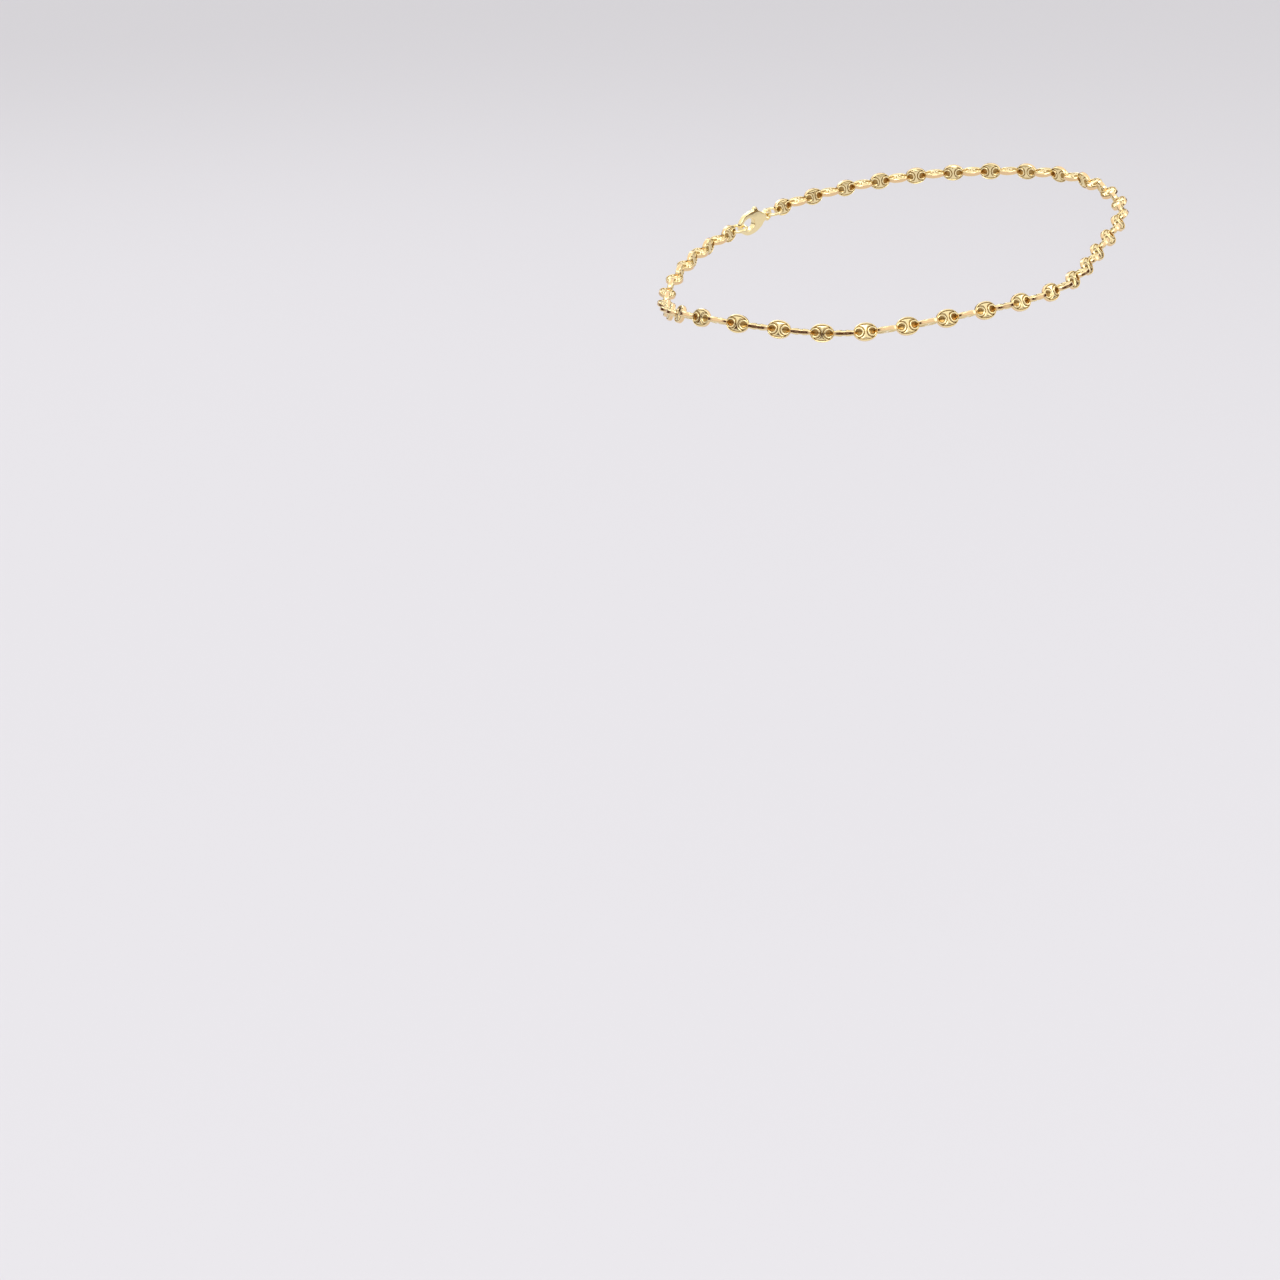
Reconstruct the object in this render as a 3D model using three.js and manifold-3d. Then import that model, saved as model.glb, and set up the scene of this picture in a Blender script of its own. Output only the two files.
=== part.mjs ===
// Puffed mariner chain anklet: stamped gold links round an open ankle, closed by a lobster clasp.
// Millimetres. +Z runs up the leg, +X to the heel, -X to the toes and +Y to the inner side of the ankle.
// The origin is the middle of the loop, where the ankle passes through.
import * as THREE from 'three';
import { mergeVertices } from 'three/addons/utils/BufferGeometryUtils.js';
import Module from 'manifold-3d';

const wasm = await Module();
wasm.setup();

// Gold of the whole anklet
const gold = { color: 0xe6bd5a, roughness: 0.16, metalness: 1 };

// The loop that the chain lies on, a row for every 30 degrees from the heel towards the inner ankle.
// The lean is how far, in degrees, the flat links there face up the leg. Behind the outer ankle bone the
// chain is twisted, so that they face up more.
const stations = [
  { place: 'heel', radius: 47.5, height: 7.5, lean: 14 },
  { place: 'heel, inner side', radius: 44, height: 6, lean: 6 },
  { place: 'behind the inner ankle bone', radius: 37.5, height: 3, lean: 4 },
  { place: 'inner ankle bone', radius: 34, height: -1, lean: 4 },
  { place: 'before the inner ankle bone', radius: 33.5, height: -4, lean: 8 },
  { place: 'instep, inner side', radius: 37, height: -6.5, lean: 12 },
  { place: 'instep', radius: 44, height: -4, lean: 14 },
  { place: 'instep, outer side', radius: 40, height: -5, lean: 16 },
  { place: 'before the outer ankle bone', radius: 36, height: -3, lean: 16 },
  { place: 'outer ankle bone', radius: 35.5, height: -1, lean: 17 },
  { place: 'behind the outer ankle bone', radius: 35, height: 2, lean: 40 },
  { place: 'heel, outer side', radius: 42, height: 6, lean: 34 },
];
const pathSteps = 3600;

// One stamped link: an oval with two round holes and a bar between them, puffed at the bar
const linkLength = 3.74;
const linkWidth = 2.85;
const linkSides = 10;
const holeDiameter = 1.2;
const holeSides = 8;
const endWall = 0.25;
const barHeight = 0.45;
const endHeight = 0.14;
const shoulderScale = 0.93;
const sideFall = 0.4;

// The chain: neighbours press together a little where their end walls touch
const linkCount = 73;
const pressedDepth = 0.06;
const chainStart = 64.8;

// The closing: a jump ring, a lobster clasp and a second jump ring
const ringDiameter = 3;
const ringWire = 0.5;
const ringSides = 14;
const wireSides = 6;
const claspThickness = 1.1;
const claspBevel = 0.18;
const eyeRadius = 1;
const eyeHoleRadius = 0.6;
const clawHalfWidth = 2.1;
const clawWall = 0.72;
const clawOpeningLength = 2.9;
const clawOpeningWidth = 2.1;
const ringClearance = 0.3;

// The clasp's outline: where its belly is, as a share of its length, how far its curves run on straight,
// and the corners of its thumb tab, measured back from the belly and up from the claw's side
const bellyShare = 0.64;
const neckAngle = 0.36 * Math.PI;
const neckEnd = { x: 2.6, y: 1.2 };
const bellyRunToEye = 1.7;
const bellyRunToClaw = 1.5;
const clawEndRun = 1.2;
const tabCorners = [
  { corner: 'toe', back: 0.9, up: 0.35 },
  { corner: 'top', back: 1.7, up: 0.2 },
  { corner: 'heel', back: 1.8, up: -0.5 },
];

const holeCentre = linkLength / 2 - endWall - holeDiameter / 2;
const linkPitch = linkLength - 2 * endWall + pressedDepth;

// A ring of points on an oval: it reaches the full length with flats at its ends, and the full width
function ovalRing(length, width, sides, centre, scale = 1) {
  const angles = Array.from({ length: sides }, (_, side) => ((side + 0.5) * 2 * Math.PI) / sides);
  const reachX = Math.cos(angles[0]);
  const reachY = Math.max(...angles.map(Math.sin));
  return angles.map((angle) => {
    const x = (scale * length * Math.cos(angle)) / (2 * reachX);
    const y = (scale * width * Math.sin(angle)) / (2 * reachY);
    return new THREE.Vector2(centre + x, y);
  });
}

// Height of the puffed face: greatest on the bar, falling to the ends and a little to the sides
function faceHeight(point) {
  const alongEnd = Math.min(1, (2 * Math.abs(point.x)) / linkLength);
  const acrossEnd = Math.min(1, (2 * Math.abs(point.y)) / linkWidth);
  return endHeight + (barHeight - endHeight) * (1 - alongEnd ** 2) * (1 - sideFall * acrossEnd ** 2);
}

// One link, lying in XY with its length along X
function linkGeometry() {
  const rim = ovalRing(linkLength, linkWidth, linkSides, 0);
  const shoulder = ovalRing(linkLength, linkWidth, linkSides, 0, shoulderScale);
  const holeAt = (centre) => ovalRing(holeDiameter, holeDiameter, holeSides, centre);
  const holes = [holeAt(-holeCentre), holeAt(holeCentre)];
  const face = THREE.ShapeUtils.triangulateShape(shoulder, holes);
  const facePoints = [...shoulder, ...holes.flat()];
  const positions = [];

  const put = (point, height) => positions.push(point.x, point.y, height);
  const triangle = (a, b, c) => [a, b, c].forEach(([point, height]) => put(point, height));
  const band = (lower, upper) => {
    lower.forEach((start, at) => {
      const next = (at + 1) % lower.length;
      triangle(start, lower[next], upper[next]);
      triangle(start, upper[next], upper[at]);
    });
  };
  const raised = (points, side) => points.map((point) => [point, side * faceHeight(point)]);

  const top = raised(facePoints, 1);
  const bottom = raised(facePoints, -1);
  face.forEach(([a, b, c]) => {
    triangle(top[a], top[b], top[c]);
    triangle(bottom[a], bottom[c], bottom[b]);
  });
  const edge = rim.map((point) => [point, 0]);
  band(edge, raised(shoulder, 1));
  band(raised(shoulder, -1), edge);
  holes.forEach((hole) => band(raised(hole, 1), raised(hole, -1)));

  const geometry = new THREE.BufferGeometry();
  geometry.setAttribute('position', new THREE.Float32BufferAttribute(positions, 3));
  return geometry;
}

// The loop as points at equal steps along a smooth closed curve through the stations
function loopPath() {
  const points = stations.map(({ radius, height }, row) => {
    const angle = (row * 2 * Math.PI) / stations.length;
    return new THREE.Vector3(radius * Math.cos(angle), radius * Math.sin(angle), height);
  });
  const curve = new THREE.CatmullRomCurve3(points, true, 'catmullrom', 0.5);
  curve.arcLengthDivisions = pathSteps;
  return { points: curve.getSpacedPoints(pathSteps), step: curve.getLength() / pathSteps };
}

// The points where one link touches the next, a link's pitch apart
function contactPoints() {
  const { points: path, step } = loopPath();
  const at = (index) => path[index % pathSteps];
  let index = Math.round(chainStart / step);
  const contacts = [at(index).clone()];
  while (contacts.length <= linkCount) {
    const last = contacts[contacts.length - 1];
    while (at(index + 1).distanceTo(last) < linkPitch) {
      index += 1;
    }
    const near = at(index).distanceTo(last);
    const far = at(index + 1).distanceTo(last);
    contacts.push(at(index).clone().lerp(at(index + 1), (linkPitch - near) / (far - near)));
  }
  return contacts;
}

// The lean of the links at a point, in radians, between the two nearest stations
function leanAt(point) {
  const turn = (Math.atan2(point.y, point.x) / (2 * Math.PI) + 1) % 1;
  const row = Math.floor(turn * stations.length);
  const next = (row + 1) % stations.length;
  const share = turn * stations.length - row;
  return THREE.MathUtils.degToRad(THREE.MathUtils.lerp(stations[row].lean, stations[next].lean, share));
}

// A place on the loop from one point to another: X runs along it, and Z faces away from the skin
function placeBetween(from, to) {
  const along = to.clone().sub(from).normalize();
  const centre = from.clone().add(to).multiplyScalar(0.5);
  const outward = new THREE.Vector3().crossVectors(along, new THREE.Vector3(0, 0, 1)).normalize();
  outward.applyAxisAngle(along, -leanAt(centre));
  const across = new THREE.Vector3().crossVectors(outward, along);
  return new THREE.Matrix4().makeBasis(along, across, outward).setPosition(centre);
}

// Turns a place a quarter round its own length, so that what lay on the skin stands on it
function standing(place) {
  return place.clone().multiply(new THREE.Matrix4().makeRotationX(Math.PI / 2));
}

function toSolid(geometry) {
  const merged = mergeVertices(geometry, 1e-4);
  return new wasm.Manifold(
    new wasm.Mesh({
      numProp: 3,
      vertProperties: new Float32Array(merged.attributes.position.array),
      triVerts: new Uint32Array(merged.index.array),
    }),
  );
}

function toGeometry(solid) {
  const { vertProperties, triVerts } = solid.getMesh();
  const geometry = new THREE.BufferGeometry();
  geometry.setAttribute('position', new THREE.BufferAttribute(vertProperties, 3));
  geometry.setIndex(new THREE.BufferAttribute(triVerts, 1));
  geometry.computeVertexNormals();
  return geometry;
}

// Every other link lies flat on the skin, and those between stand on edge through their holes
function chainGeometry(contacts) {
  const link = linkGeometry();
  const links = [];
  for (let index = 0; index < linkCount; index += 1) {
    const flat = placeBetween(contacts[index], contacts[index + 1]);
    const place = index % 2 === 0 ? flat : standing(flat);
    links.push(toSolid(link.clone().applyMatrix4(place)));
  }
  return toGeometry(links.reduce((joined, next) => joined.add(next)));
}

// The clasp from its eye at X = 0 to the end of its claw, with the shut lever's thumb tab at one side
function claspGeometry(length) {
  const bellyX = length * bellyShare;
  const clawRunX = bellyX + bellyRunToClaw;
  const shape = new THREE.Shape();
  shape.absarc(eyeRadius, 0, eyeRadius, neckAngle, 2 * Math.PI - neckAngle);
  shape.bezierCurveTo(neckEnd.x, -neckEnd.y, bellyX - bellyRunToEye, -clawHalfWidth, bellyX, -clawHalfWidth);
  shape.bezierCurveTo(clawRunX, -clawHalfWidth, length, -clawEndRun, length, 0);
  shape.bezierCurveTo(length, clawEndRun, clawRunX, clawHalfWidth, bellyX, clawHalfWidth);
  tabCorners.forEach(({ back, up }) => shape.lineTo(bellyX - back, clawHalfWidth + up));
  shape.closePath();

  const eyeHole = new THREE.Path();
  eyeHole.absarc(eyeRadius, 0, eyeHoleRadius, 0, 2 * Math.PI);
  const opening = new THREE.Path();
  const openingX = length - clawWall - clawOpeningLength / 2;
  opening.absellipse(openingX, 0, clawOpeningLength / 2, clawOpeningWidth / 2, 0, 2 * Math.PI);
  shape.holes.push(eyeHole, opening);

  const geometry = new THREE.ExtrudeGeometry(shape, {
    depth: claspThickness - 2 * claspBevel,
    curveSegments: 6,
    bevelEnabled: true,
    bevelSegments: 1,
    bevelSize: claspBevel,
    bevelThickness: claspBevel,
    bevelOffset: -claspBevel,
  });
  return geometry.translate(0, 0, claspBevel - claspThickness / 2);
}

function node(name, geometry, place) {
  const mesh = new THREE.Mesh(geometry, new THREE.MeshStandardMaterial(gold));
  mesh.name = name;
  if (place) {
    mesh.applyMatrix4(place);
  }
  return mesh;
}

// The closing hangs between the outer holes of the two end links
function closing(contacts) {
  const endHole = (inner, outer) => outer.clone().lerp(inner, (linkPitch / 2 - holeCentre) / linkPitch);
  const from = endHole(contacts[linkCount - 1], contacts[linkCount]);
  const to = endHole(contacts[1], contacts[0]);
  const span = from.distanceTo(to);
  const middle = placeBetween(from, to);
  const shift = (distance) => new THREE.Matrix4().makeTranslation(distance - span / 2, 0, 0);
  const at = (distance) => middle.clone().multiply(shift(distance));

  const ring = new THREE.TorusGeometry(ringDiameter / 2, ringWire / 2, wireSides, ringSides);
  const claspStart = ringDiameter - eyeRadius;
  const claspLength = span - ringDiameter - claspStart + ringWire / 2 + ringClearance + clawWall;
  return [
    node('jump_ring_eye_side', ring, standing(at(ringDiameter / 2))),
    node('lobster_clasp', claspGeometry(claspLength), at(claspStart)),
    node('jump_ring_claw_side', ring.clone(), standing(at(span - ringDiameter / 2))),
  ];
}

const contacts = contactPoints();
const anklet = new THREE.Group();
anklet.add(node('link_chain', chainGeometry(contacts)));
anklet.add(...closing(contacts));

export default anklet;
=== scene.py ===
"""Puffed mariner chain anklet: stamped, polished gold links round an open ankle, shut by a lobster clasp.

The loop, the link's sizes and the places of the closing repeat those of the CAD part. Sizes are in
millimetres and turned to metres where a shape is made. +Z runs up the leg, +X to the heel, -X to the toes.
"""

import math
import random
from collections import namedtuple

import bmesh
import bpy
from mathutils import Matrix, Vector


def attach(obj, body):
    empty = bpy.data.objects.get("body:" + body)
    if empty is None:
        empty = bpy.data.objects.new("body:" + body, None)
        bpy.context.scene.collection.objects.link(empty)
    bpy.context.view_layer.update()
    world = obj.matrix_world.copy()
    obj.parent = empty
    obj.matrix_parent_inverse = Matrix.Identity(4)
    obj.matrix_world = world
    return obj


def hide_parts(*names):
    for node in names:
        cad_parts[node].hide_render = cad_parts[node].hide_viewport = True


MM = 0.001
UP = Vector((0, 0, 1))
# A Mix node's two colour sockets and its colour output, which share their names with its other ones
COLOUR_A, COLOUR_B, COLOUR_RESULT = 6, 7, 2

# The loop that the chain lies on, a row for every 30 degrees from the heel towards the inner ankle
Station = namedtuple("Station", "place radius height lean")
STATIONS = (
    Station("heel", 47.5, 7.5, 14),
    Station("heel, inner side", 44, 6, 6),
    Station("behind the inner ankle bone", 37.5, 3, 4),
    Station("inner ankle bone", 34, -1, 4),
    Station("before the inner ankle bone", 33.5, -4, 8),
    Station("instep, inner side", 37, -6.5, 12),
    Station("instep", 44, -4, 14),
    Station("instep, outer side", 40, -5, 16),
    Station("before the outer ankle bone", 36, -3, 16),
    Station("outer ankle bone", 35.5, -1, 17),
    Station("behind the outer ankle bone", 35, 2, 40),
    Station("heel, outer side", 42, 6, 34),
)
STEPS_PER_STATION = 300

# The chain
LINK_COUNT = 73
LINK_PITCH = 3.3
CHAIN_START = 64.8
HOLE_CENTRE = 1.02

# One link: an oval puffed at the bar between its two holes
LINK_HALF_LENGTH = 1.87
LINK_HALF_WIDTH = 1.425
PUFF_HEIGHT = 0.42
END_FALL = 0.8
SIDE_FALL = 0.5
SPOKES = 36
CORNER_SPOKE = 13
FACE_ROWS = 3

# A hole and its collar, from the waist outwards. The lip curls in to a narrow waist that lies nearer the
# link's end, where the next link passes. At the end the rings keep within the metal, at least a gap from it.
# Relief stands on the puffed face, None is the link's middle plane, and the last column is the share of
# deeper gold painted as shade.
Ring = namedtuple("Ring", "name centre radius end_gap relief hollow")
# The lip that falls into the hole and the groove round the collar carry the most painted shade
COLLAR = (
    Ring("lip's waist", 1.54, 0.11, 0.22, None, 1.0),
    Ring("lip's throat", 1.49, 0.16, 0.22, -0.24, 1.0),
    Ring("lip's bowl", 1.22, 0.38, 0.22, -0.18, 0.85),
    Ring("lip's brim", 1.06, 0.49, 0.22, -0.05, 0.9),
    Ring("collar's inner round", 1.03, 0.55, 0.2, 0.05, 0.0),
    Ring("collar's crest", 1.02, 0.66, 0.16, 0.09, 0.0),
    Ring("collar's outer round", 1.02, 0.74, 0.13, 0.05, 0.2),
    Ring("groove", 1.02, 0.81, 0.11, -0.14, 1.0),
    Ring("groove's far side", 1.02, 0.89, 0.1, -0.03, 0.4),
)
# The oval rim, from the face outwards: how far in it lies at the link's ends and at its sides, and how much
# of it is the edge that the die cut
Rim = namedtuple("Rim", "name at_end at_side relief hollow cut_edge")
# The rim's foot, the furrow between face and rim, carries the most painted shade, and the rounds beside it a
# little
RIM = (
    Rim("face's edge", 0.09, 0.35, -0.02, 0.2, 0.0),
    Rim("rim's foot", 0.085, 0.27, -0.12, 1.0, 0.0),
    Rim("rim's inner round", 0.07, 0.2, 0.02, 0.2, 0.0),
    Rim("rim's crest", 0.045, 0.13, 0.05, 0.0, 0.0),
    Rim("rim's shoulder", 0.02, 0.05, 0.0, 0.0, 0.1),
    Rim("rim's corner", 0.0, 0.0, -0.05, 0.0, 0.7),
    Rim("rim's wall", 0.0, 0.0, -0.09, 0.0, 1.0),
    Rim("rim's middle", 0.0, 0.0, None, 0.0, 1.0),
)
# Points this close are one, where the halves of a link meet
MIRROR_SEAM = 0.002
# How far the links are rolled about the chain at most, as they lie on the skin
ROLL = 7
ROLL_SEED = 149293
# Edges that turn by more degrees than this stay sharp, on stamped and drawn metal and on the casting
CREASE = 50
CAST_CREASE = 60

# The closing: two jump rings of drawn wire with a saw cut, and a cast lobster clasp
RING_RADIUS = 1.5
WIRE_RADIUS = 0.25
WIRE_SIDES = 14
RING_STEPS = 44
SAW_CUT = 0.06
EYE_RADIUS = 1.0
EYE_HOLE_RADIUS = 0.6
CLAW_WALL = 0.72
CLAW_HALF_WIDTH = 2.1
CLAW_OPENING_LENGTH = 2.9
CLAW_OPENING_WIDTH = 2.1
RING_CLEARANCE = 0.3
CLASP_THICKNESS = 1.1
CLASP_BEVEL = 0.18
CLASP_BEVEL_STEPS = 3
CLASP_LINE_STEPS = 10
# The casting's mesh size, and how its mesh is smoothed: how far each point moves, and how many times
CAST_GRAIN = 0.06
CAST_SMOOTHING = 0.5
CAST_SMOOTHING_ROUNDS = 10
# The clasp's outline from its eye to the end of its claw, as shares of its length and half width. The thumb
# tab of the lever stands on one side alone. The casting is domed, and thins from its belly to both ends.
Turn = namedtuple("Turn", "name along across")
CLASP_OUTLINE = (
    Turn("eye's end", 0.0, 0.0),
    Turn("eye's side", 0.12, 0.49),
    Turn("neck", 0.24, 0.36),
    Turn("shoulder", 0.36, 0.7),
    Turn("tab's heel", 0.41, 0.84),
    Turn("tab's back", 0.43, 1.08),
    Turn("tab's top", 0.49, 1.18),
    Turn("tab's toe", 0.55, 1.0),
    Turn("belly", 0.64, 1.0),
    Turn("bend of the claw", 0.88, 0.7),
    Turn("claw's end", 1.0, 0.0),
)
BELLY_SHARE = 0.55
THINNING = 0.35
DOMING = 0.75

# The gold: its plain colour, its colour in hollows, which is painted shade and a painted reflection of the
# gold mirroring itself there, and its colour on the cut edges, where the plate is thin over rosy brass
GOLD = "#FBE8B2"
HOLLOW_SHADE_GOLD = "#9A712C"
EDGE_GOLD = "#F2CF9E"
# The waves that buffing leaves. Real ones are finer, and these are as coarse as they need to be to show.
Waves = namedtuple("Waves", "size height")
STAMPED_WAVES = Waves(0.35, 0.004)
CAST_WAVES = Waves(0.5, 0.006)
WAVE_DETAIL = 2.0
WAVE_ROUGHNESS = 0.5
# The polish goes from its finest to its dullest between two heights of the waves. Hollows are duller still.
POLISHED_WAVE, DULL_WAVE = 0.35, 0.7
FINEST_POLISH, DULLEST_POLISH = 0.09, 0.2
HOLLOW_DULLNESS = 0.16

# The camera: its place, how far it is turned from +Y towards +X, how far it looks down, its lens, and the
# nearest that it sees
CAMERA_PLACE = (-377.8, -309.6, 91.6)
CAMERA_TURN = 46
CAMERA_DROP = 18
FRAME_WIDTH = 1280
FOCAL_PIXELS = 3000
SENSOR = 36
NEAREST_SEEN = 10

# The studio
FLOOR_HEIGHT = -140
FLOOR_RADIUS = 30000
FLOOR_SIDES = 96
FLOOR_COLOUR = "#D0CFD4"
PAPER_ROUGHNESS = 0.9
PAPER_SHINE = 0.1
Softbox = namedtuple("Softbox", "name place width height watts")
SOFTBOXES = (
    Softbox("key_softbox", (-700, -500, 900), 700, 500, 3.8),
    Softbox("fill_softbox", (600, -700, 500), 400, 500, 1.0),
    Softbox("back_softbox", (300, 800, 700), 600, 400, 1.5),
)
# What the gold mirrors, by height from straight down (-1) to straight up (1)
Band = namedtuple("Band", "height colour")
SURROUNDINGS = (
    Band(-1.0, "#E6E4E2"),
    Band(-0.02, "#D8D4D0"),
    Band(0.0, "#3E2110"),
    Band(0.17, "#3E2110"),
    Band(0.24, "#E0DEDC"),
    Band(1.0, "#F4F3F2"),
)
ROOM_LIGHT = 1.3
BACKDROP = "#D7D5D9"


def deselect_all():
    if bpy.context.object and bpy.context.object.mode != "OBJECT":
        bpy.ops.object.mode_set(mode="OBJECT")
    bpy.ops.object.select_all(action="DESELECT")


def choose(piece):
    deselect_all()
    piece.select_set(True)
    bpy.context.view_layer.objects.active = piece


def apply_modifier(piece, kind, **settings):
    choose(piece)
    modifier = piece.modifiers.new(kind.lower(), kind)
    for name, value in settings.items():
        setattr(modifier, name, value)
    bpy.ops.object.modifier_apply(modifier=modifier.name)


def recalculate_normals(piece):
    choose(piece)
    bpy.ops.object.mode_set(mode="EDIT")
    bpy.ops.mesh.select_all(action="SELECT")
    bpy.ops.mesh.normals_make_consistent(inside=False)
    bpy.ops.object.mode_set(mode="OBJECT")


def smooth(piece, degrees):
    choose(piece)
    bpy.ops.object.shade_smooth_by_angle(angle=math.radians(degrees))


def linear(hex_colour):
    """An sRGB hex colour as linear numbers with alpha"""
    channels = [int(hex_colour[i : i + 2], 16) / 255 for i in (1, 3, 5)]
    return [c / 12.92 if c <= 0.04045 else ((c + 0.055) / 1.055) ** 2.4 for c in channels] + [1.0]


def add_node(tree, kind, settings=(), links=()):
    """Adds a node, sets its fields and sockets, by name or number, and links other nodes' outputs to it"""
    node = tree.nodes.new(kind)
    for name, value in dict(settings).items():
        if isinstance(name, int) or name in node.inputs:
            node.inputs[name].default_value = value
        else:
            setattr(node, name, value)
    for name, source in dict(links).items():
        tree.links.new(source, node.inputs[name])
    return node


def puffed_height(x, y):
    """Height of the link's plain puffed face, most on the bar and least at the rim"""
    fall = END_FALL * (x / LINK_HALF_LENGTH) ** 2 + SIDE_FALL * (y / LINK_HALF_WIDTH) ** 2
    return PUFF_HEIGHT * math.sqrt(1 - fall)


def raised(x, y, relief):
    return Vector((x, y, 0.0 if relief is None else puffed_height(x, y) + relief))


def collar_point(ring, spoke):
    """A point of a ring round the hole. Spoke 0 points to the link's end, and the last one to its bar."""
    angle = 2 * math.pi * spoke / SPOKES
    x = ring.centre + ring.radius * math.cos(angle)
    y = ring.radius * math.sin(angle)
    x = min(x, (LINK_HALF_LENGTH - ring.end_gap) * math.sqrt(1 - (y / LINK_HALF_WIDTH) ** 2))
    # Each ring's share of painted shade goes with its points
    return raised(x, y, ring.relief), ring.hollow, 0.0


def rim_point(rim, spoke):
    """A point of a line along the rim, or on the bar's middle, where its relief fades out"""
    turn = spoke if spoke <= SPOKES // 2 else spoke - SPOKES
    along = min(abs(turn), CORNER_SPOKE) / CORNER_SPOKE * math.pi / 2
    inset = rim.at_end + (rim.at_side - rim.at_end) * math.sin(along) ** 2
    x = (LINK_HALF_LENGTH - inset) * math.cos(along)
    y = (LINK_HALF_WIDTH - inset) * math.sin(along)
    if abs(turn) > CORNER_SPOKE:
        share = (SPOKES // 2 - abs(turn)) / (SPOKES // 2 - CORNER_SPOKE)
        # On the bar, the rim's painted shade fades out with its relief
        on_bar = raised(0.0, math.copysign(y * share, turn), rim.relief * share**2)
        return on_bar, rim.hollow * share**2, rim.cut_edge
    return raised(x, math.copysign(y, turn), rim.relief), rim.hollow, rim.cut_edge


def face_point(share, spoke):
    """A point of the plain puffed face, a share of the way from the collar to the rim or the bar's middle"""
    inner = collar_point(COLLAR[-1], spoke)[0]
    outer = rim_point(RIM[0], spoke)[0]
    return raised(*inner.lerp(outer, share).xy, 0.0), 0.0, 0.0


def draw_out(link, row, point):
    """Extrudes the chosen line of edges and puts its new points where the row says"""
    bpy.ops.mesh.extrude_region_move()
    settle(link, row, point)


def settle(link, row, point):
    mesh = bmesh.from_edit_mesh(link.data)
    spokes = mesh.verts.layers.int["spoke"]
    # Each point's share of painted shade, a deeper gold in the hollows
    hollow = mesh.verts.layers.float["hollow"]
    cut_edge = mesh.verts.layers.float["cut_edge"]
    for vert in mesh.verts:
        if vert.select:
            place, vert[hollow], vert[cut_edge] = point(row, vert[spokes])
            vert.co = place * MM
    bmesh.update_edit_mesh(link.data)


def choose_rim_arc(link):
    """Leaves only the edges of the chosen ring that lie along the rim, not those on the bar's middle"""
    mesh = bmesh.from_edit_mesh(link.data)
    spokes = mesh.verts.layers.int["spoke"]
    bpy.ops.mesh.select_mode(type="EDGE")
    for edge in mesh.edges:
        ends = [vert[spokes] for vert in edge.verts]
        on_bar = all(CORNER_SPOKE <= end <= SPOKES - CORNER_SPOKE for end in ends)
        if edge.select and on_bar:
            edge.select_set(False)
    mesh.select_flush_mode()
    bmesh.update_edit_mesh(link.data)


def model_link():
    """One stamped link: a ring round one hole is drawn out to the rim, then mirrored along and through"""
    deselect_all()
    bpy.ops.mesh.primitive_circle_add(vertices=SPOKES, radius=COLLAR[0].radius * MM)
    link = bpy.context.object
    link.data.attributes.new("spoke", "INT", "POINT")
    # Each point's share of painted shade in the hollows
    link.data.attributes.new("hollow", "FLOAT", "POINT")
    link.data.attributes.new("cut_edge", "FLOAT", "POINT")
    for vert, spoke in zip(link.data.vertices, link.data.attributes["spoke"].data):
        spoke.value = round(math.atan2(vert.co.y, vert.co.x) / (2 * math.pi) * SPOKES) % SPOKES
    bpy.ops.object.mode_set(mode="EDIT")
    bpy.ops.mesh.select_all(action="SELECT")
    settle(link, COLLAR[0], collar_point)
    for ring in COLLAR[1:]:
        draw_out(link, ring, collar_point)
    for row in range(1, FACE_ROWS):
        draw_out(link, row / FACE_ROWS, face_point)
    draw_out(link, RIM[0], rim_point)
    choose_rim_arc(link)
    for rim in RIM[1:]:
        draw_out(link, rim, rim_point)
    bpy.ops.object.mode_set(mode="OBJECT")
    apply_modifier(link, "MIRROR", use_axis=(True, False, True), merge_threshold=MIRROR_SEAM * MM)
    recalculate_normals(link)
    return link


def loop_path():
    """Points along the smooth closed curve through the stations, in millimetres"""
    count = len(STATIONS)
    corners = []
    for row, station in enumerate(STATIONS):
        angle = 2 * math.pi * row / count
        x = station.radius * math.cos(angle)
        y = station.radius * math.sin(angle)
        corners.append(Vector((x, y, station.height)))
    path = []
    for row in range(count):
        before, start, end, after = (corners[(row + step) % count] for step in (-1, 0, 1, 2))
        for step in range(STEPS_PER_STATION):
            u = step / STEPS_PER_STATION
            path.append(
                start
                + (end - before) * (u / 2)
                + (2 * before - 5 * start + 4 * end - after) * (u * u / 2)
                + (3 * start - before - 3 * end + after) * (u * u * u / 2)
            )
    return path


def contact_points():
    """The points where one link touches the next, a link's pitch apart"""
    path = loop_path()
    index = 0
    travelled = 0.0
    while travelled < CHAIN_START:
        travelled += (path[index + 1] - path[index]).length
        index += 1
    contacts = [path[index].copy()]
    while len(contacts) <= LINK_COUNT:
        last = contacts[-1]
        while (path[(index + 1) % len(path)] - last).length < LINK_PITCH:
            index += 1
        here, onward = path[index % len(path)], path[(index + 1) % len(path)]
        near, far = (here - last).length, (onward - last).length
        contacts.append(here.lerp(onward, (LINK_PITCH - near) / (far - near)))
    return contacts


def lean_at(point):
    turn = (math.atan2(point.y, point.x) / (2 * math.pi)) % 1 * len(STATIONS)
    row = int(turn)
    here, onward = STATIONS[row], STATIONS[(row + 1) % len(STATIONS)]
    return math.radians(here.lean + (onward.lean - here.lean) * (turn - row))


def place_between(start, end):
    """A place on the loop, in metres: X runs along it and Z faces away from the skin"""
    along = (end - start).normalized()
    centre = (start + end) / 2
    outward = Matrix.Rotation(-lean_at(centre), 3, along) @ along.cross(UP).normalized()
    across = outward.cross(along)
    turned = Matrix((along, across, outward)).transposed().to_4x4()
    return Matrix.Translation(centre * MM) @ turned


def standing(place):
    return place @ Matrix.Rotation(math.pi / 2, 4, "X")


def join(pieces, name):
    deselect_all()
    for piece in pieces:
        piece.select_set(True)
    bpy.context.view_layer.objects.active = pieces[0]
    bpy.ops.object.join()
    joined = bpy.context.object
    joined.name = name
    joined.data.name = name
    return joined


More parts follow.
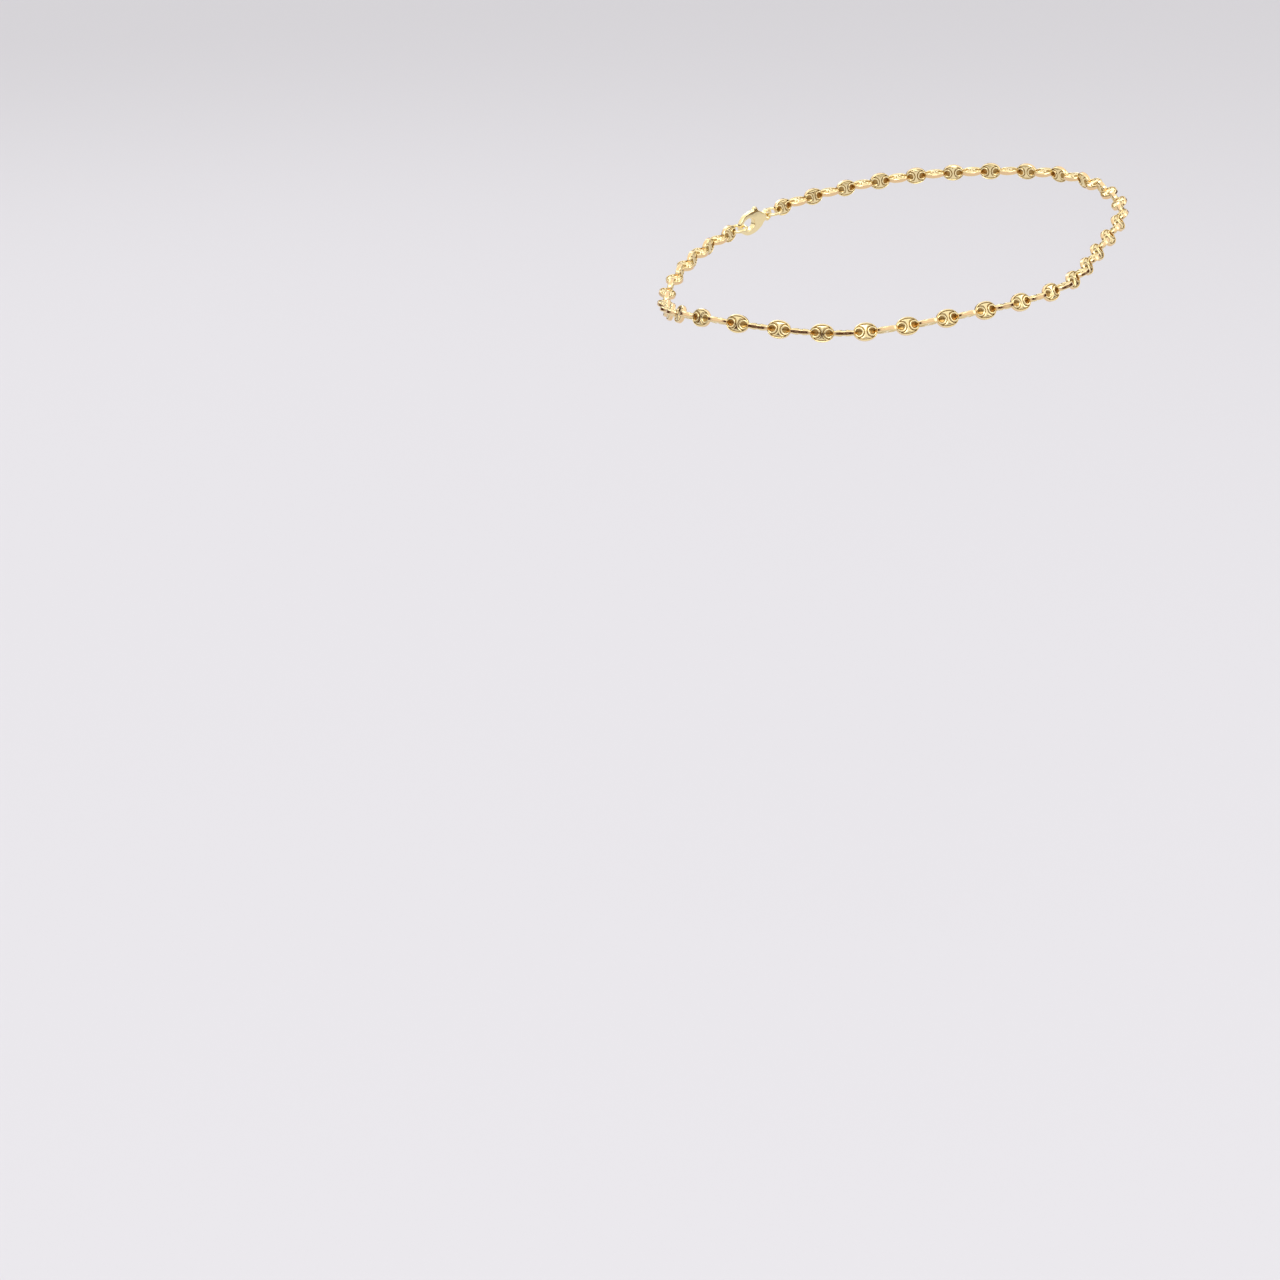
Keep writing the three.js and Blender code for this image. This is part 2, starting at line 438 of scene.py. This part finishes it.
def copy_at(piece, place):
    copy = piece.copy()
    copy.data = piece.data.copy()
    bpy.context.scene.collection.objects.link(copy)
    copy.data.transform(place)
    return copy


def make_chain(contacts):
    """Every other link lies flat on the skin, and those between stand on edge through their holes"""
    link = model_link()
    rolls = random.Random(ROLL_SEED)
    flat, on_edge = [], []
    for index in range(LINK_COUNT):
        roll = Matrix.Rotation(math.radians(rolls.uniform(-ROLL, ROLL)), 4, "X")
        place = place_between(contacts[index], contacts[index + 1]) @ roll
        if index % 2 == 0:
            flat.append(copy_at(link, place))
        else:
            on_edge.append(copy_at(link, standing(place)))
    bpy.data.objects.remove(link)
    pieces = [join(flat, "flat_links"), join(on_edge, "standing_links")]
    for piece in pieces:
        smooth(piece, CREASE)
    return pieces


def ring_of_wire(name):
    """A jump ring in XY: a wire's section spun nearly all the way round, with its two ends closed"""
    deselect_all()
    bpy.ops.mesh.primitive_circle_add(
        vertices=WIRE_SIDES, radius=WIRE_RADIUS * MM, fill_type="NGON", rotation=(math.pi / 2, 0, 0)
    )
    ring = bpy.context.object
    ring.name = name
    ring.data.name = name
    bpy.ops.object.transform_apply(location=False, rotation=True, scale=False)
    ring.data.transform(Matrix.Translation((RING_RADIUS * MM, 0, 0)))
    bpy.ops.object.mode_set(mode="EDIT")
    bpy.ops.mesh.select_all(action="SELECT")
    turn = 2 * math.pi - SAW_CUT / RING_RADIUS
    bpy.ops.mesh.spin(steps=RING_STEPS, angle=turn, center=(0, 0, 0), axis=(0, 0, 1))
    bpy.ops.object.mode_set(mode="OBJECT")
    recalculate_normals(ring)
    smooth(ring, CREASE)
    return ring


def closed_line(data, points, handles):
    """Adds a closed smooth line to a flat curve, where a line inside another one cuts a hole"""
    line = data.splines.new("BEZIER")
    line.bezier_points.add(len(points) - 1)
    line.use_cyclic_u = True
    for knot, (x, y) in zip(line.bezier_points, points):
        knot.co = Vector((x, y, 0)) * MM
        knot.handle_left_type = knot.handle_right_type = handles


def oval_points(centre, half_length, half_width):
    return [
        (centre - half_length, 0),
        (centre, half_width),
        (centre + half_length, 0),
        (centre, -half_width),
    ]


def make_clasp(length):
    """A plain shut lobster clasp: a plate with rounded edges, swelled at its belly, then cast smooth"""
    data = bpy.data.curves.new("lobster_clasp_body", "CURVE")
    data.dimensions = "2D"
    data.fill_mode = "BOTH"
    data.resolution_u = CLASP_LINE_STEPS
    upper = [(turn.along * length, turn.across * CLAW_HALF_WIDTH) for turn in CLASP_OUTLINE]
    lower = [
        (turn.along * length, -turn.across * CLAW_HALF_WIDTH)
        for turn in reversed(CLASP_OUTLINE[1:-1])
        if not turn.name.startswith("tab")
    ]
    opening_centre = length - CLAW_WALL - CLAW_OPENING_LENGTH / 2
    closed_line(data, upper + lower, "AUTO")
    closed_line(data, oval_points(EYE_RADIUS, EYE_HOLE_RADIUS, EYE_HOLE_RADIUS), "AUTO")
    closed_line(data, oval_points(opening_centre, CLAW_OPENING_LENGTH / 2, CLAW_OPENING_WIDTH / 2), "AUTO")
    data.extrude = (CLASP_THICKNESS / 2 - CLASP_BEVEL) * MM
    data.bevel_depth = CLASP_BEVEL * MM
    data.bevel_resolution = CLASP_BEVEL_STEPS
    data.offset = -CLASP_BEVEL * MM
    clasp = bpy.data.objects.new("lobster_clasp_body", data)
    bpy.context.scene.collection.objects.link(clasp)
    choose(clasp)
    bpy.ops.object.convert(target="MESH")
    clasp = bpy.context.object
    apply_modifier(clasp, "REMESH", mode="VOXEL", voxel_size=CAST_GRAIN * MM, use_smooth_shade=True)
    for vert in clasp.data.vertices:
        along = (vert.co.x / MM / length - BELLY_SHARE) / BELLY_SHARE
        across = min(1.0, abs(vert.co.y) / MM / CLAW_HALF_WIDTH)
        vert.co.z *= (1 - THINNING * along**2) * math.sqrt(1 - DOMING * across**2)
    apply_modifier(clasp, "SMOOTH", factor=CAST_SMOOTHING, iterations=CAST_SMOOTHING_ROUNDS)
    smooth(clasp, CAST_CREASE)
    return clasp


def make_closing(contacts):
    """The jump rings and the clasp, hung between the outer holes of the two end links"""
    share = (LINK_PITCH / 2 - HOLE_CENTRE) / LINK_PITCH
    start = contacts[LINK_COUNT].lerp(contacts[LINK_COUNT - 1], share)
    end = contacts[0].lerp(contacts[1], share)
    span = (end - start).length
    middle = place_between(start, end)

    def at(distance):
        return middle @ Matrix.Translation(((distance - span / 2) * MM, 0, 0))

    clasp_start = 2 * RING_RADIUS - EYE_RADIUS
    clasp_length = span - 2 * RING_RADIUS - clasp_start + WIRE_RADIUS + RING_CLEARANCE + CLAW_WALL
    eye_ring = ring_of_wire("eye_side_ring")
    eye_ring.data.transform(standing(at(RING_RADIUS)))
    clasp = make_clasp(clasp_length)
    clasp.data.transform(at(clasp_start))
    claw_ring = ring_of_wire("claw_side_ring")
    claw_ring.data.transform(standing(at(span - RING_RADIUS)))
    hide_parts("jump_ring_eye_side")
    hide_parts("lobster_clasp")
    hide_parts("jump_ring_claw_side")
    return [eye_ring, clasp, claw_ring]


def polished_gold(name, buffing):
    """Gold plate over brass, tumbled and buffed

    To the eye it is a mirror whose glints waver a little. Its hollows, which the buff misses, are duller,
    and they are painted a deeper gold as painted shade and a painted reflection of the gold. Its cut edges
    are rosier.
    """
    material = bpy.data.materials.new(name)
    material.use_nodes = True
    tree = material.node_tree
    shader = tree.nodes["Principled BSDF"]
    shader.inputs["Metallic"].default_value = 1.0
    place = add_node(tree, "ShaderNodeTexCoord")
    waves = add_node(
        tree,
        "ShaderNodeTexNoise",
        {"Scale": 1 / (buffing.size * MM), "Detail": WAVE_DETAIL, "Roughness": WAVE_ROUGHNESS},
        {"Vector": place.outputs["Object"]},
    )
    hollow = add_node(tree, "ShaderNodeAttribute", {"attribute_name": "hollow"})
    # Painted shade and painted reflection: the hollows' share mixes in a deeper gold, and it also dulls
    # their polish
    shaded_gold = add_node(
        tree,
        "ShaderNodeMix",
        {"data_type": "RGBA", COLOUR_A: linear(GOLD), COLOUR_B: linear(HOLLOW_SHADE_GOLD)},
        {"Factor": hollow.outputs["Fac"]},
    )
    cut_edge = add_node(tree, "ShaderNodeAttribute", {"attribute_name": "cut_edge"})
    colour = add_node(
        tree,
        "ShaderNodeMix",
        {"data_type": "RGBA", COLOUR_B: linear(EDGE_GOLD)},
        {"Factor": cut_edge.outputs["Fac"], COLOUR_A: shaded_gold.outputs[COLOUR_RESULT]},
    )
    polish = add_node(
        tree,
        "ShaderNodeMapRange",
        {
            "From Min": POLISHED_WAVE,
            "From Max": DULL_WAVE,
            "To Min": FINEST_POLISH,
            "To Max": DULLEST_POLISH,
        },
        {"Value": waves.outputs["Fac"]},
    )
    dulled = add_node(
        tree,
        "ShaderNodeMath",
        {"operation": "MULTIPLY_ADD", 1: HOLLOW_DULLNESS},
        {0: hollow.outputs["Fac"], 2: polish.outputs["Result"]},
    )
    bump = add_node(
        tree,
        "ShaderNodeBump",
        {"Strength": 1.0, "Distance": buffing.height * MM},
        {"Height": waves.outputs["Fac"]},
    )
    tree.links.new(colour.outputs[COLOUR_RESULT], shader.inputs["Base Color"])
    tree.links.new(dulled.outputs["Value"], shader.inputs["Roughness"])
    tree.links.new(bump.outputs["Normal"], shader.inputs["Normal"])
    return material


def matt_paper(name, colour):
    """Plain matt paper for the floor, which to the eye is evenly pale and without gloss"""
    material = bpy.data.materials.new(name)
    material.use_nodes = True
    shader = material.node_tree.nodes["Principled BSDF"]
    shader.inputs["Base Color"].default_value = linear(colour)
    shader.inputs["Roughness"].default_value = PAPER_ROUGHNESS
    shader.inputs["Specular IOR Level"].default_value = PAPER_SHINE
    return material


def make_surroundings():
    """A pale room, with a dark band above the horizon for the gold to mirror. The camera sees plain pale."""
    world = bpy.data.worlds.new("surroundings")
    bpy.context.scene.world = world
    world.use_nodes = True
    tree = world.node_tree
    tree.nodes.clear()
    direction = add_node(tree, "ShaderNodeTexCoord")
    parts = add_node(tree, "ShaderNodeSeparateXYZ", links={"Vector": direction.outputs["Generated"]})
    height = add_node(
        tree,
        "ShaderNodeMapRange",
        {"From Min": -1.0, "From Max": 1.0},
        {"Value": parts.outputs["Z"]},
    )
    bands = add_node(tree, "ShaderNodeValToRGB", links={"Fac": height.outputs["Result"]})
    stops = bands.color_ramp.elements
    while len(stops) < len(SURROUNDINGS):
        stops.new(1.0)
    for stop, band in zip(stops, SURROUNDINGS):
        stop.position = (band.height + 1) / 2
        stop.color = linear(band.colour)
    mirrored = add_node(
        tree, "ShaderNodeBackground", {"Strength": ROOM_LIGHT}, {"Color": bands.outputs["Color"]}
    )
    seen = add_node(tree, "ShaderNodeBackground", {"Color": linear(BACKDROP)})
    ray = add_node(tree, "ShaderNodeLightPath")
    either = add_node(
        tree,
        "ShaderNodeMixShader",
        links={0: ray.outputs["Is Camera Ray"], 1: mirrored.outputs[0], 2: seen.outputs[0]},
    )
    add_node(tree, "ShaderNodeOutputWorld", links={"Surface": either.outputs[0]})


def make_softboxes():
    for box in SOFTBOXES:
        data = bpy.data.lights.new(box.name, "AREA")
        data.shape = "RECTANGLE"
        data.size = box.width * MM
        data.size_y = box.height * MM
        data.energy = box.watts
        light = bpy.data.objects.new(box.name, data)
        light.location = Vector(box.place) * MM
        light.rotation_euler = Vector(box.place).to_track_quat("Z", "Y").to_euler()
        bpy.context.scene.collection.objects.link(light)


def make_floor():
    deselect_all()
    bpy.ops.mesh.primitive_circle_add(
        vertices=FLOOR_SIDES, radius=FLOOR_RADIUS * MM, fill_type="NGON", location=(0, 0, FLOOR_HEIGHT * MM)
    )
    floor = bpy.context.object
    floor.name = "floor"
    floor.data.materials.append(matt_paper("matt_paper", FLOOR_COLOUR))
    return floor


def make_camera():
    data = bpy.data.cameras.new("camera")
    data.sensor_width = SENSOR
    data.lens = FOCAL_PIXELS / FRAME_WIDTH * SENSOR
    data.clip_start = NEAREST_SEEN * MM
    camera = bpy.data.objects.new("camera", data)
    camera.location = Vector(CAMERA_PLACE) * MM
    camera.rotation_euler = (math.radians(90 - CAMERA_DROP), 0, math.radians(-CAMERA_TURN))
    bpy.context.scene.collection.objects.link(camera)
    bpy.context.scene.camera = camera


def show_plain_colours():
    """Shows each colour as it is, with no film curve over the bright gold"""
    bpy.context.scene.view_settings.view_transform = "Standard"


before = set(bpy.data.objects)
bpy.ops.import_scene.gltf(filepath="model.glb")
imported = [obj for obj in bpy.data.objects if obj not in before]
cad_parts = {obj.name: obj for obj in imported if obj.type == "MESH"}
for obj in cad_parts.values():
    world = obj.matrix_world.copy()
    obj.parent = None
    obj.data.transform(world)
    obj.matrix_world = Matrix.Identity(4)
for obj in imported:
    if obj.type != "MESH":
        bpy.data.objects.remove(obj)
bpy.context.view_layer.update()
make_camera()
show_plain_colours()
make_surroundings()
make_softboxes()
make_floor()

contacts = contact_points()
chain = make_chain(contacts)
chain_finish = polished_gold("gold_plated_brass_stamped_and_buffed", STAMPED_WAVES)
for piece in chain:
    piece.data.materials.append(chain_finish)
    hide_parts("link_chain")
    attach(piece, "root")

closing = make_closing(contacts)
closing_finish = polished_gold("gold_plated_brass_cast_and_buffed", CAST_WAVES)
for piece in closing:
    piece.data.materials.append(closing_finish)
    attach(piece, "root")
